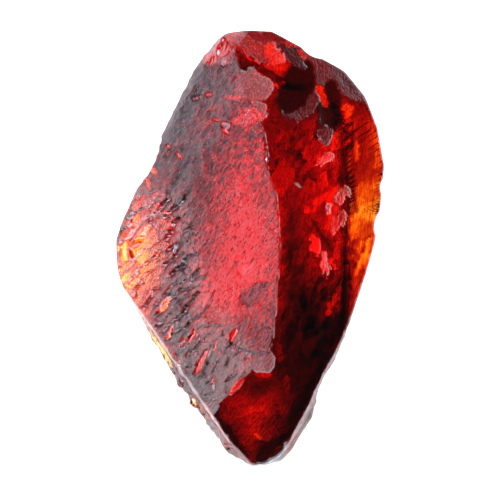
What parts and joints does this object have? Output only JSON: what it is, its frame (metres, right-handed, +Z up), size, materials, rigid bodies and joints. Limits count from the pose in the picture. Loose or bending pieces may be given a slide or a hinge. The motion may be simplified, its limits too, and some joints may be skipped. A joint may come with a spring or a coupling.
{
  "type": "rough pyrope garnet",
  "caption": "Rough red pyrope garnet: an elongated broken crystal with a long ridge, an etched lobe, conchoidal hollows and thin amber edges, lying on a flat back.",
  "frame": {"origin": "middle of the stone's box in plan, on the surface that it rests on", "axes": "+Z up from the resting face to the ridge, +Y from the narrow tip to the broad shoulder, +X to the right as the picture shows it"},
  "size_m": [0.0184, 0.03, 0.011],
  "materials": {
    "garnet": "deep red and see-through, amber where it is thin; satin and etched on the left faces, glassy on the fractures"
  },
  "bodies": {
    "root": {"pyrope_garnet": "garnet"}
  },
  "joints": []
}
